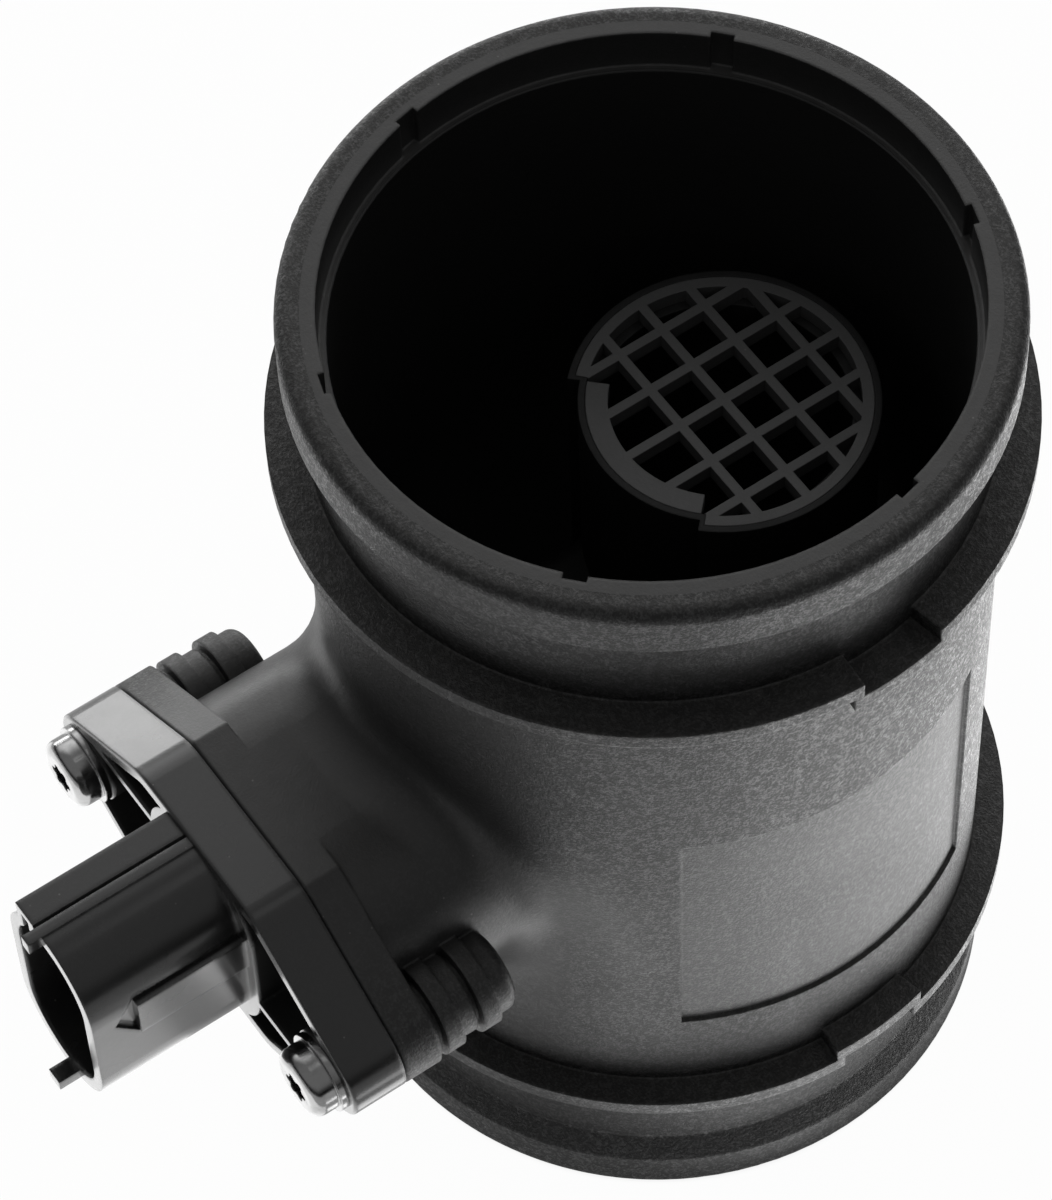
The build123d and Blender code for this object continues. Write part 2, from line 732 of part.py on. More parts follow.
# --- mounting screws: pan heads with a washer collar and a six-lobed socket -------------------------
with BuildPart() as mounting_screws:
    for side in (-1, 1):
        with BuildSketch(port_plane(module_front)):
            with Locations((side * screw_offset, 0)):
                Circle(screw_washer_radius)
        extrude(amount=screw_washer_thickness)
        head_plane = port_plane(module_front + screw_washer_thickness)
        with BuildSketch(head_plane):
            with Locations((side * screw_offset, 0)):
                Circle(screw_head_radius)
        extrude(amount=screw_head_height)
    crowns = faces().filter_by(Axis.Y).group_by(Axis.Y)[0]
    fillet(crowns.edges(), radius=screw_head_round)
    for side in (-1, 1):
        with BuildSketch(port_plane(module_front)):
            with Locations((side * screw_offset, 0)):
                Circle(screw_shank_radius)
        extrude(amount=-module_flange_thickness)
        with BuildSketch(port_plane(port_face)):
            with Locations((side * screw_offset, 0)):
                Circle(pilot_radius - fit)
        extrude(amount=-(pilot_depth - slide))
    with BuildSketch(port_plane(module_front + screw_washer_thickness + screw_head_height)):
        with Locations((-screw_offset, 0), (screw_offset, 0)):
            Circle(socket_core_radius)
            with PolarLocations(socket_core_radius, socket_lobes):
                Circle(socket_lobe_radius)
    extrude(amount=-socket_depth, mode=Mode.SUBTRACT)

mounting_screws.part.label = "mounting_screws"
export_step(mounting_screws.part, "parts/mounting_screws.step")
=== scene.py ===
"""Looks of the mass airflow sensor: its finishes, moulding marks, studio and camera.

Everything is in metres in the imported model's frame: +Z runs along the tube from its lower rim and the
port for the plug-in module points along -Y.
"""

import logging
import math
from dataclasses import dataclass
from enum import Enum
from typing import Any

import bpy
from mathutils import Matrix, Vector


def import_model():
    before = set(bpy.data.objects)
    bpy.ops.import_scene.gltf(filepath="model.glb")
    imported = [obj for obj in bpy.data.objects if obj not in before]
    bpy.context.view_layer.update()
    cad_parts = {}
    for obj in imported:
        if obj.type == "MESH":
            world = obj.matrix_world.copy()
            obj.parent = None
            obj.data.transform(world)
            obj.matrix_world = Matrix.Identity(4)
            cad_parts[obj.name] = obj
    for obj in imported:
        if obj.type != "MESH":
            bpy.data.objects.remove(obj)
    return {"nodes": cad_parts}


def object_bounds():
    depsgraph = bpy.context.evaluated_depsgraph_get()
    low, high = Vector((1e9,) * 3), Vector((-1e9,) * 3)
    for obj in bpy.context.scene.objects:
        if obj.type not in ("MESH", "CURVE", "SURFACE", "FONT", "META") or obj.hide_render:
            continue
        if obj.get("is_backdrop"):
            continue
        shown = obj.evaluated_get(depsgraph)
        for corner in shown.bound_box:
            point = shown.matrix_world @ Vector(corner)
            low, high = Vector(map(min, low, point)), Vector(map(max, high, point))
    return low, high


Colour = tuple[float, float, float, float]
log = logging.getLogger("mass_airflow_sensor")


def grey(level: float, warmth: float = 0.0) -> Colour:
    """Near-neutral linear colour.

    Args:
        level: brightness, from 0 to 1.
        warmth: share by which red is raised and blue lowered.

    Returns:
        The colour with full alpha.
    """
    return (level * (1 + warmth), level, level * (1 - warmth), 1.0)


DUST_COLOUR = grey(0.34, 0.03)
WHITE = grey(1.0)


# --- node trees --------------------------------------------------------------------------------


class NodeTree:
    """Adds nodes to one tree and joins them up."""

    def __init__(self, tree: bpy.types.NodeTree) -> None:
        """Takes the tree over and empties it."""
        self.tree = tree
        tree.nodes.clear()

    def add(self, kind: str, inputs: dict[Any, Any] | None = None, **settings: Any) -> bpy.types.Node:
        """Adds one node.

        Args:
            kind: the node's type, such as ShaderNodeMath.
            inputs: values or sockets for its inputs, by name or number.
            settings: the node's own properties, such as operation.

        Returns:
            The new node.
        """
        node = self.tree.nodes.new(kind)
        for name, value in settings.items():
            setattr(node, name, value)
        for key, value in (inputs or {}).items():
            self.feed(node.inputs[key], value)
        return node

    def feed(self, socket: bpy.types.NodeSocket, value: Any) -> None:
        """Links a socket into this one, or writes a plain value on it.

        Args:
            socket: the input to feed.
            value: a socket or a plain value.
        """
        if isinstance(value, bpy.types.NodeSocket):
            self.tree.links.new(value, socket)
        else:
            socket.default_value = value

    def math(self, operation: str, *values: Any, clamp: bool = False) -> bpy.types.NodeSocket:
        """Result of a Math node.

        Args:
            operation: what the node does, such as MULTIPLY.
            values: numbers or sockets for its inputs.
            clamp: whether the result is held between 0 and 1.

        Returns:
            The node's output.
        """
        node = self.add("ShaderNodeMath", dict(enumerate(values)), operation=operation, use_clamp=clamp)
        return node.outputs[0]

    def span(self, value: Any, low: float, high: float, to_low: float = 0.0,
             to_high: float = 1.0) -> bpy.types.NodeSocket:
        """Value moved from one range to another and clamped there.

        Args:
            value: the socket to move.
            low: start of the range that it comes from.
            high: end of the range that it comes from.
            to_low: what low becomes.
            to_high: what high becomes.

        Returns:
            The node's output.
        """
        node = self.add("ShaderNodeMapRange", {0: value, 1: low, 2: high, 3: to_low, 4: to_high},
                        interpolation_type="SMOOTHSTEP")
        return node.outputs[0]

    def mix(self, share: Any, first: Any, second: Any) -> bpy.types.NodeSocket:
        """Mix of two colours.

        Args:
            share: how much of the second colour there is.
            first: colour or socket at share 0.
            second: colour or socket at share 1.

        Returns:
            The mixed colour.
        """
        node = self.add("ShaderNodeMix", data_type="RGBA")
        for key, value in ((0, share), (6, first), (7, second)):
            self.feed(node.inputs[key], value)
        return node.outputs[2]

    def noise(self, place: Any, scale: Any, detail: float = 2.0,
              roughness: float = 0.5) -> bpy.types.NodeSocket:
        """Value of a noise texture.

        Args:
            place: coordinates to read it at.
            scale: features per metre.
            detail: how many finer layers it has.
            roughness: strength of the finer layers.

        Returns:
            The noise, about 0.5 on average.
        """
        node = self.add("ShaderNodeTexNoise", {"Vector": place, "Scale": scale, "Detail": detail,
                                               "Roughness": roughness})
        return node.outputs["Fac"]


class SurfaceEffect(Enum):
    """Node groups that several finishes share."""

    MOULD_GRAIN = "mould_grain"
    FLOW_MOTTLE = "flow_mottle"
    EDGE_WEAR_AND_HIGHLIGHT = "edge_wear_and_highlight"
    SETTLED_DUST = "settled_dust"
    HAIR_SCRATCHES = "hair_scratches"


class EffectLibrary:
    """Builds each shared effect once and hands it to the finishes."""

    COARSE_SCALE = 0.37  # coarse grains to a fine one
    FINE_SHARE = 0.7
    COARSE_SHARE = 0.3
    # Painted glints: how sharply the grain's peaks go over into the mask that is painted paler.
    GLINT_GAIN = 6.0
    TURN_GAIN = 5.0  # how soon a turned edge takes the wear colour and painted highlight
    RUB_START, RUB_FULL = 0.38, 0.68
    SPECK_CORE, SPECK_EDGE = 0.10, 0.24
    SPECK_RARE, SPECK_SURE = 0.965, 0.995
    FACING_DOWN, FACING_UP = -0.6, 0.9
    DUST_UNDER, DUST_ON_TOP = 0.15, 1.0
    FLAT_START = 0.75
    FILM_PATCHES = 380.0  # patches of the film per metre
    FILM_ENDS = (0.25, 0.75)
    FILM_THIN, FILM_THICK = 0.8, 1.2
    SCRATCH_START, SCRATCH_FULL = 0.60, 0.72
    SCRATCH_LAYS = ((0.5, 0.04), (2.1, 0.06))  # turn in radians, and width to length

    def __init__(self) -> None:
        """Builds every group."""
        makers = {
            SurfaceEffect.MOULD_GRAIN: self.mould_grain,
            SurfaceEffect.FLOW_MOTTLE: self.flow_mottle,
            SurfaceEffect.EDGE_WEAR_AND_HIGHLIGHT: self.edge_wear_and_highlight,
            SurfaceEffect.SETTLED_DUST: self.settled_dust,
            SurfaceEffect.HAIR_SCRATCHES: self.hair_scratches,
        }
        self.groups = {effect: make() for effect, make in makers.items()}

    def start(self, effect: SurfaceEffect, numbers: dict[str, float],
              outputs: dict[str, str]) -> tuple[NodeTree, bpy.types.Node, bpy.types.Node]:
        """Makes an empty group with its sockets.

        Args:
            effect: which group it is.
            numbers: its number inputs and what they are unless set.
            outputs: its outputs and their socket types.

        Returns:
            The group's tree, its input node and its output node.
        """
        group = bpy.data.node_groups.new(effect.value, "ShaderNodeTree")
        for name, value in numbers.items():
            socket = group.interface.new_socket(name, in_out="INPUT", socket_type="NodeSocketFloat")
            socket.default_value = value
        for name, kind in outputs.items():
            group.interface.new_socket(name, in_out="OUTPUT", socket_type=kind)
        tree = NodeTree(group)
        return tree, tree.add("NodeGroupInput"), tree.add("NodeGroupOutput")

    def mould_grain(self) -> bpy.types.NodeTree:
        """Spark-eroded grain of a moulding: a height, and a mask of its peaks, which the finishes paint
        paler as glints.

        Returns:
            The group.
        """
        tree, given, out = self.start(
            SurfaceEffect.MOULD_GRAIN, {"Grains per metre": 2400.0, "Glint level": 0.47},
            {"Height": "NodeSocketFloat", "Painted glints": "NodeSocketFloat"})
        place = tree.add("ShaderNodeTexCoord").outputs["Object"]
        scale = given.outputs["Grains per metre"]
        fine = tree.noise(place, scale, detail=3.0, roughness=0.65)
        coarse = tree.noise(place, tree.math("MULTIPLY", scale, self.COARSE_SCALE), detail=1.0)
        height = tree.math("ADD", tree.math("MULTIPLY", fine, self.FINE_SHARE),
                           tree.math("MULTIPLY", coarse, self.COARSE_SHARE))
        over = tree.math("SUBTRACT", height, given.outputs["Glint level"])
        above = tree.math("MULTIPLY", over, self.GLINT_GAIN, clamp=True)
        tree.feed(out.inputs["Height"], height)
        tree.feed(out.inputs["Painted glints"], above)
        return tree.tree

    def flow_mottle(self) -> bpy.types.NodeTree:
        """Slow change over a moulding, where the melt ran and the skin is glossier.

        Returns:
            The group.
        """
        tree, given, out = self.start(
            SurfaceEffect.FLOW_MOTTLE, {"Patches per metre": 60.0, "Contrast": 1.0},
            {"Mottle": "NodeSocketFloat"})
        place = tree.add("ShaderNodeTexCoord").outputs["Object"]
        scale = given.outputs["Patches per metre"]
        wide = tree.noise(place, scale, detail=4.0, roughness=0.6)
        centred = tree.math("SUBTRACT", wide, 0.5)
        mottle = tree.math("MULTIPLY_ADD", centred, given.outputs["Contrast"], 0.5, clamp=True)
        tree.feed(out.inputs["Mottle"], mottle)
        return tree.tree

    def edge_wear_and_highlight(self) -> bpy.types.NodeTree:
        """Rounded edges: a normal turned over each edge, and an edge mask for wear and a painted
        highlight.

        Returns:
            The group.
        """
        tree, given, out = self.start(
            SurfaceEffect.EDGE_WEAR_AND_HIGHLIGHT, {"Edge radius": 0.0003, "Breakup per metre": 900.0},
            {"Normal": "NodeSocketVector", "Rubbed and highlit": "NodeSocketFloat"})
        rounded = tree.add("ShaderNodeBevel", {"Radius": given.outputs["Edge radius"]}, samples=6)
        plain = tree.add("ShaderNodeNewGeometry")
        along = tree.add("ShaderNodeVectorMath", {0: rounded.outputs[0], 1: plain.outputs["Normal"]},
                         operation="DOT_PRODUCT").outputs["Value"]
        turned = tree.math("MULTIPLY", tree.math("SUBTRACT", 1.0, along), self.TURN_GAIN, clamp=True)
        place = tree.add("ShaderNodeTexCoord").outputs["Object"]
        breakup = tree.noise(place, given.outputs["Breakup per metre"], detail=3.0, roughness=0.7)
        broken = tree.span(breakup, self.RUB_START, self.RUB_FULL)
        tree.feed(out.inputs["Normal"], rounded.outputs[0])
        tree.feed(out.inputs["Rubbed and highlit"], tree.math("MULTIPLY", turned, broken))
        return tree.tree

    def settled_dust(self) -> bpy.types.NodeTree:
        """Specks of dust, more of them on what faces up, and a thin film on what lies flat.

        Returns:
            The group.
        """
        tree, given, out = self.start(
            SurfaceEffect.SETTLED_DUST, {"Specks per metre": 1500.0, "Amount": 0.2, "Film": 0.0},
            {"Dust": "NodeSocketFloat"})
        place = tree.add("ShaderNodeTexCoord").outputs["Object"]
        cells = tree.add("ShaderNodeTexVoronoi",
                         {"Vector": place, "Scale": given.outputs["Specks per metre"]})
        speck = tree.span(cells.outputs["Distance"], self.SPECK_CORE, self.SPECK_EDGE, 1.0, 0.0)
        drawn = tree.add("ShaderNodeSeparateColor", {0: cells.outputs["Color"]}).outputs[0]
        picked = tree.span(drawn, self.SPECK_RARE, self.SPECK_SURE)
        normal = tree.add("ShaderNodeNewGeometry").outputs["Normal"]
        upward = tree.add("ShaderNodeSeparateXYZ", {0: normal}).outputs["Z"]
        facing = tree.span(upward, self.FACING_DOWN, self.FACING_UP, self.DUST_UNDER, self.DUST_ON_TOP)
        specks = tree.math("MULTIPLY", tree.math("MULTIPLY", speck, picked), facing)
        flat = tree.math("MULTIPLY", tree.span(upward, self.FLAT_START, 1.0), given.outputs["Film"])
        patches = tree.noise(place, self.FILM_PATCHES, detail=3.0)
        uneven = tree.span(patches, *self.FILM_ENDS, self.FILM_THIN, self.FILM_THICK)
        film = tree.math("MULTIPLY", flat, uneven)
        dust = tree.math("MULTIPLY_ADD", specks, given.outputs["Amount"], film, clamp=True)
        tree.feed(out.inputs["Dust"], dust)
        return tree.tree

    def hair_scratches(self) -> bpy.types.NodeTree:
        """Fine handling scratches that run in two crossing directions.

        Returns:
            The group.
        """
        tree, given, out = self.start(
            SurfaceEffect.HAIR_SCRATCHES, {"Scratches per metre": 500.0, "Amount": 0.5},
            {"Scratches": "NodeSocketFloat"})
        place = tree.add("ShaderNodeTexCoord").outputs["Object"]
        marks = []
        for turn, stretch in self.SCRATCH_LAYS:
            laid = tree.add("ShaderNodeMapping", {"Vector": place, "Rotation": (turn, turn / 2, turn),
                                                  "Scale": (1.0, stretch, 1.0)}).outputs[0]
            lines = tree.noise(laid, given.outputs["Scratches per metre"], detail=4.0, roughness=0.75)
            marks.append(tree.span(lines, self.SCRATCH_START, self.SCRATCH_FULL))
        both = tree.math("MAXIMUM", marks[0], marks[1])
        tree.feed(out.inputs["Scratches"], tree.math("MULTIPLY", both, given.outputs["Amount"]))
        return tree.tree

    def place(self, tree: NodeTree, effect: SurfaceEffect, values: dict[str, float]) -> bpy.types.Node:
        """Puts a shared effect in a material.

        Args:
            tree: the material's tree.
            effect: which effect.
            values: its inputs.

        Returns:
            The group node.
        """
        node = tree.add("ShaderNodeGroup", node_tree=self.groups[effect])
        for name, value in values.items():
            tree.feed(node.inputs[name], value)
        return node


# --- finishes ----------------------------------------------------------------------------------


def new_material(name: str) -> tuple[bpy.types.Material, NodeTree, bpy.types.Node]:
    """Starts a material with a Principled shader.

    Args:
        name: the finish's name.

    Returns:
        The material, its tree and its shader node.
    """
    material = bpy.data.materials.new(name)
    material.use_nodes = True
    tree = NodeTree(material.node_tree)
    shader = tree.add("ShaderNodeBsdfPrincipled")
    tree.add("ShaderNodeOutputMaterial", {"Surface": shader.outputs[0]})
    return material, tree, shader


@dataclass(frozen=True)
class MouldedPlastic:
    """Moulded plastic: fine grain with painted glints, edges paler by wear and painted highlight, a little
    dust.
    """

    name: str
    colour: Colour
    fleck_and_glint: Colour
    rub_and_highlight: Colour
    roughness: float
    roughness_spread: float
    grains_per_metre: float
    grain_depth: float
    glint_share: float
    edge_radius: float
    dust: float
    specular: float = 0.5
    coat: float = 0.0
    coat_roughness: float = 0.03
    patches_per_metre: float = 55.0
    patch_share: float = 0.35
    rub_and_highlight_share: float = 0.6
    mottle_ends: tuple[float, float] = (0.3, 0.7)

    def build(self, effects: EffectLibrary) -> bpy.types.Material:
        """Material of this finish.

        Args:
            effects: the shared node groups.

        Returns:
            The material.
        """
        material, tree, shader = new_material(self.name)
        grain = effects.place(tree, SurfaceEffect.MOULD_GRAIN, {"Grains per metre": self.grains_per_metre})
        mottle = effects.place(tree, SurfaceEffect.FLOW_MOTTLE,
                               {"Patches per metre": self.patches_per_metre})
        edge = effects.place(tree, SurfaceEffect.EDGE_WEAR_AND_HIGHLIGHT, {"Edge radius": self.edge_radius})
        dust = effects.place(tree, SurfaceEffect.SETTLED_DUST, {"Amount": self.dust})
        # Painted glints: the grain's peaks take the paler colour, standing in for light caught on them.
        glinted = tree.mix(tree.math("MULTIPLY", grain.outputs["Painted glints"], self.glint_share),
                           self.colour, self.fleck_and_glint)
        shaded = tree.mix(tree.math("MULTIPLY", mottle.outputs["Mottle"], self.patch_share),
                          glinted, self.fleck_and_glint)
        # Edges, hollow ones too, take a paler colour: partly wear, partly a painted highlight on their
        # rounding.
        worn_and_highlit = tree.mix(tree.math("MULTIPLY", edge.outputs["Rubbed and highlit"], self.rub_and_highlight_share), shaded, self.rub_and_highlight)
        dusty = tree.mix(dust.outputs["Dust"], worn_and_highlit, DUST_COLOUR)
        rough = tree.span(mottle.outputs["Mottle"], *self.mottle_ends,
                          self.roughness - self.roughness_spread, self.roughness + self.roughness_spread)
        bump = tree.add("ShaderNodeBump", {"Strength": 1.0, "Distance": self.grain_depth,
                                           "Height": grain.outputs["Height"],
                                           "Normal": edge.outputs["Normal"]})
        for key, value in (("Base Color", dusty), ("Roughness", rough), ("Normal", bump.outputs[0]),
                           ("Specular IOR Level", self.specular), ("Coat Weight", self.coat),
                           ("Coat Roughness", self.coat_roughness)):
            tree.feed(shader.inputs[key], value)
        return material


@dataclass(frozen=True)
class TubeRegions:
    """Masks of the tube's surface."""

    grained: bpy.types.NodeSocket
    bore: bpy.types.NodeSocket
    pad: bpy.types.NodeSocket


@dataclass(frozen=True)
class TubeSkin:
    """Black tube moulding: grain outside with painted glints and shade, plain round the port, smoother on
    the pad.
    """

    name: str
    plain: Colour
    # Grain colours: the valley ones are painted shade in its valleys, the paler ones painted glints on its
    # peaks.
    valley: Colour
    fleck_and_glint: Colour
    pad_valley: Colour
    pad_fleck_and_glint: Colour
    # Painted shade: the bore's wall is coloured darker than the outside, standing in for the shade inside
    # the tube.
    bore: Colour
    rub_and_highlight: Colour
    roughness: float
    grained_roughness: float
    valley_roughness: float
    grains_per_metre: float
    grain_depth: float
    edge_radius: float
    dust: float
    film: float
    specular: float
    patches_per_metre: float = 45.0
    patch_ends: tuple[float, float] = (0.25, 0.75)
    patch_low: float = 0.75
    patch_roughness: float = 0.2
    plain_grain: float = 0.25
    pad_grain: float = 0.25
    rub_and_highlight_share: float = 0.6
    bore_radius: float = 0.0349
    skin_radius: float = 0.0372
    pad_radius: float = 0.03835
    pad_bottom: float = 0.0392
    pad_top: float = 0.0792
    pad_side: float = 0.0327
    port_height: float = 0.061
    port_inner: float = 0.021
    port_outer: float = 0.043
    port_ragged: float = 0.012
    ragged_per_metre: float = 90.0
    behind_start: float = -0.012
    behind_full: float = 0.004

    def regions(self, tree: NodeTree) -> TubeRegions:
        """Finds the grained skin, the bore's wall and the sunk pad.

        Args:
            tree: the material's tree.

        Returns:
            Their masks.
        """
        place = tree.add("ShaderNodeTexCoord").outputs["Object"]
        along = tree.add("ShaderNodeSeparateXYZ", {0: place}).outputs
        radius = self.length(tree, along["X"], along["Y"])
        rise = tree.math("SUBTRACT", along["Z"], self.port_height)
        from_port = self.length(tree, along["X"], rise)
        ragged = tree.math("MULTIPLY_ADD", tree.noise(place, self.ragged_per_metre, detail=3.0),
                           self.port_ragged, from_port)
        clear = tree.span(ragged, self.port_inner, self.port_outer)
        behind = tree.span(along["Y"], self.behind_start, self.behind_full)
        grained = tree.math("MULTIPLY", tree.math("GREATER_THAN", radius, self.skin_radius),
                            tree.math("MAXIMUM", clear, behind))
        # Mask of the bore's wall, where painted shade goes.
        bore = tree.math("LESS_THAN", radius, self.bore_radius)
        between = tree.math("MULTIPLY", tree.math("GREATER_THAN", along["Z"], self.pad_bottom),
                            tree.math("LESS_THAN", along["Z"], self.pad_top))
        sunk = tree.math("MULTIPLY", tree.math("LESS_THAN", radius, self.pad_radius),
                         tree.math("GREATER_THAN", along["X"], self.pad_side))
        return TubeRegions(grained, bore, tree.math("MULTIPLY", between, sunk))

    def length(self, tree: NodeTree, first: Any, second: Any) -> bpy.types.NodeSocket:
        """Length of a line from its two parts at right angles."""
        squares = [tree.math("MULTIPLY", part, part) for part in (first, second)]
        return tree.math("SQRT", tree.math("ADD", *squares))

    def paint(self, tree: NodeTree, masks: TubeRegions, glints: Any, mottle: Any) -> bpy.types.NodeSocket:
        """Colour of the clean, unworn moulding outside the bore.

        Args:
            tree: the material's tree.
            masks: the tube's regions.
            glints: mask of the grain's peaks, which are painted paler as glints.
            mottle: slow change over the moulding.

        Returns:
            The colour.
        """
        # Painted glints and shade: the grain's peaks are painted paler and its valleys darker.
        sparkle = tree.mix(glints, tree.mix(masks.pad, self.valley, self.pad_valley),
                           tree.mix(masks.pad, self.fleck_and_glint, self.pad_fleck_and_glint))
        patches = tree.span(mottle, *self.patch_ends, self.patch_low, 1.0)
        patchy = tree.math("MULTIPLY", masks.grained, patches)
        smooth = tree.mix(tree.math("MULTIPLY", glints, self.plain_grain), self.plain, self.fleck_and_glint)
        return tree.mix(patchy, smooth, sparkle)

    def gloss(self, tree: NodeTree, masks: TubeRegions, glints: Any, mottle: Any) -> bpy.types.NodeSocket:
        """Roughness of the moulding: higher in the valleys of the grain.

        Args:
            tree: the material's tree.
            masks: the tube's regions.
            glints: mask of the grain's peaks, which are painted paler as glints.
            mottle: slow change over the moulding.

        Returns:
            The roughness.
        """
        base = tree.span(masks.grained, 0.0, 1.0, self.roughness, self.grained_roughness)
        patchy = tree.math("MULTIPLY_ADD", tree.math("SUBTRACT", mottle, 0.5), self.patch_roughness, base)
        valleys = tree.math("MULTIPLY", tree.math("SUBTRACT", 0.5, glints), masks.grained)
        depth = tree.span(masks.pad, 0.0, 1.0, self.valley_roughness,
                          self.valley_roughness * self.pad_grain)
        return tree.math("ADD", patchy, tree.math("MULTIPLY", valleys, depth))

    def build(self, effects: EffectLibrary) -> bpy.types.Material:
        """Material of this finish.

        Args:
            effects: the shared node groups.

        Returns:
            The material.
        """
        material, tree, shader = new_material(self.name)
        masks = self.regions(tree)
        grain = effects.place(tree, SurfaceEffect.MOULD_GRAIN, {"Grains per metre": self.grains_per_metre})
        mottle = effects.place(tree, SurfaceEffect.FLOW_MOTTLE,
                               {"Patches per metre": self.patches_per_metre})
        edge = effects.place(tree, SurfaceEffect.EDGE_WEAR_AND_HIGHLIGHT, {"Edge radius": self.edge_radius})
        dust = effects.place(tree, SurfaceEffect.SETTLED_DUST, {"Amount": self.dust, "Film": self.film})
        given = (tree, masks, grain.outputs["Painted glints"], mottle.outputs["Mottle"])
        # Edges, hollow ones too, take a paler colour: partly wear, partly a painted highlight on their
        # rounding.
        worn_and_highlit = tree.mix(tree.math("MULTIPLY", edge.outputs["Rubbed and highlit"], self.rub_and_highlight_share),
                        self.paint(*given), self.rub_and_highlight)
        dusty = tree.mix(dust.outputs["Dust"], worn_and_highlit, DUST_COLOUR)
        # Painted shade: the bore's wall takes the darker bore colour.
        colour = tree.mix(masks.bore, dusty, self.bore)
        height = tree.math("MULTIPLY", grain.outputs["Height"],
                           tree.span(masks.grained, 0.0, 1.0, self.plain_grain, 1.0))
        bump = tree.add("ShaderNodeBump", {"Strength": 1.0, "Distance": self.grain_depth,
                                           "Height": height, "Normal": edge.outputs["Normal"]})
        for key, value in (("Base Color", colour), ("Roughness", self.gloss(*given)),
                           ("Normal", bump.outputs[0]), ("Specular IOR Level", self.specular)):
            tree.feed(shader.inputs[key], value)
        return material


@dataclass(frozen=True)
class WorkedMetal:
    """Metal with handling scratches, a patchy polish and rounded edges."""

    name: str
    colour: Colour
    dull: Colour
    roughness: float
    roughness_spread: float
    scratch_depth: float
    edge_radius: float
    patches_per_metre: float = 420.0
    scratches_per_metre: float = 2600.0
    dull_share: float = 0.7
    scratch_roughness: float = 0.12
    dull_ends: tuple[float, float] = (0.4, 0.75)
    mottle_ends: tuple[float, float] = (0.3, 0.7)

    def build(self, effects: EffectLibrary) -> bpy.types.Material:
        """Material of this finish.

        Args:
            effects: the shared node groups.

        Returns:
            The material.
        """
        material, tree, shader = new_material(self.name)
        mottle = effects.place(tree, SurfaceEffect.FLOW_MOTTLE,
                               {"Patches per metre": self.patches_per_metre})
        lines = effects.place(tree, SurfaceEffect.HAIR_SCRATCHES,
                              {"Scratches per metre": self.scratches_per_metre})
        edge = effects.place(tree, SurfaceEffect.EDGE_WEAR_AND_HIGHLIGHT, {"Edge radius": self.edge_radius})
        dulled = tree.math("MULTIPLY", tree.span(mottle.outputs["Mottle"], *self.dull_ends),
                           self.dull_share)
        colour = tree.mix(dulled, self.colour, self.dull)
        rough = tree.span(mottle.outputs["Mottle"], *self.mottle_ends,
                          self.roughness - self.roughness_spread, self.roughness + self.roughness_spread)
        scratched = tree.math("MULTIPLY_ADD", lines.outputs["Scratches"], self.scratch_roughness, rough)
        bump = tree.add("ShaderNodeBump", {"Strength": 1.0, "Distance": self.scratch_depth,
                                           "Height": lines.outputs["Scratches"],
                                           "Normal": edge.outputs["Normal"]}, invert=True)
        for key, value in (("Base Color", colour), ("Roughness", scratched), ("Metallic", 1.0),
                           ("Normal", bump.outputs[0])):
            tree.feed(shader.inputs[key], value)
        return material


@dataclass(frozen=True)
class SoftSheen:
    """Non-metal with a soft sheen: rubber, laminate, ceramic or a small component's body."""

    name: str
    colour: Colour
    patch_and_glint: Colour
    roughness: float
    grains_per_metre: float
    grain_depth: float
    edge_radius: float
    patches_per_metre: float = 300.0
    glint_share: float = 0.3
    roughness_share: float = 0.15
    mottle_ends: tuple[float, float] = (0.2, 0.8)

    def build(self, effects: EffectLibrary) -> bpy.types.Material:
        """Material of this finish.

        Args:
            effects: the shared node groups.

        Returns:
            The material.
        """
        material, tree, shader = new_material(self.name)
        grain = effects.place(tree, SurfaceEffect.MOULD_GRAIN, {"Grains per metre": self.grains_per_metre})
        mottle = effects.place(tree, SurfaceEffect.FLOW_MOTTLE,
                               {"Patches per metre": self.patches_per_metre})
        edge = effects.place(tree, SurfaceEffect.EDGE_WEAR_AND_HIGHLIGHT, {"Edge radius": self.edge_radius})
        base = tree.mix(mottle.outputs["Mottle"], self.colour, self.patch_and_glint)
        # Painted glints: the grain's peaks take the paler second colour.
        colour = tree.mix(tree.math("MULTIPLY", grain.outputs["Painted glints"], self.glint_share),
                          base, self.patch_and_glint)
        rough = tree.span(mottle.outputs["Mottle"], *self.mottle_ends,
                          self.roughness * (1 - self.roughness_share),
                          self.roughness * (1 + self.roughness_share))
        bump = tree.add("ShaderNodeBump", {"Strength": 1.0, "Distance": self.grain_depth,
                                           "Height": grain.outputs["Height"],
                                           "Normal": edge.outputs["Normal"]})
        for key, value in (("Base Color", colour), ("Roughness", rough), ("Normal", bump.outputs[0])):
            tree.feed(shader.inputs[key], value)
        return material


@dataclass(frozen=True)
class ClearFill:
    """See-through fill: soft potting gel or a thin glass film."""

    name: str
    colour: Colour
    roughness: float
    refraction: float
    transmission: float
    patches_per_metre: float = 240.0
    cloud: Colour = grey(0.9)
    cloud_share: float = 0.2
    roughness_share: float = 0.4
    mottle_ends: tuple[float, float] = (0.3, 0.7)

    def build(self, effects: EffectLibrary) -> bpy.types.Material:
        """Material of this finish.

        Args:
            effects: the shared node groups.

        Returns:
            The material.
        """
        material, tree, shader = new_material(self.name)
        mottle = effects.place(tree, SurfaceEffect.FLOW_MOTTLE,
                               {"Patches per metre": self.patches_per_metre})
        colour = tree.mix(tree.math("MULTIPLY", mottle.outputs["Mottle"], self.cloud_share),
                          self.colour, self.cloud)
        rough = tree.span(mottle.outputs["Mottle"], *self.mottle_ends,
                          self.roughness * (1 - self.roughness_share),
                          self.roughness * (1 + self.roughness_share))
        for key, value in (("Base Color", colour), ("Roughness", rough), ("IOR", self.refraction),
                           ("Transmission Weight", self.transmission)):
            tree.feed(shader.inputs[key], value)
        return material


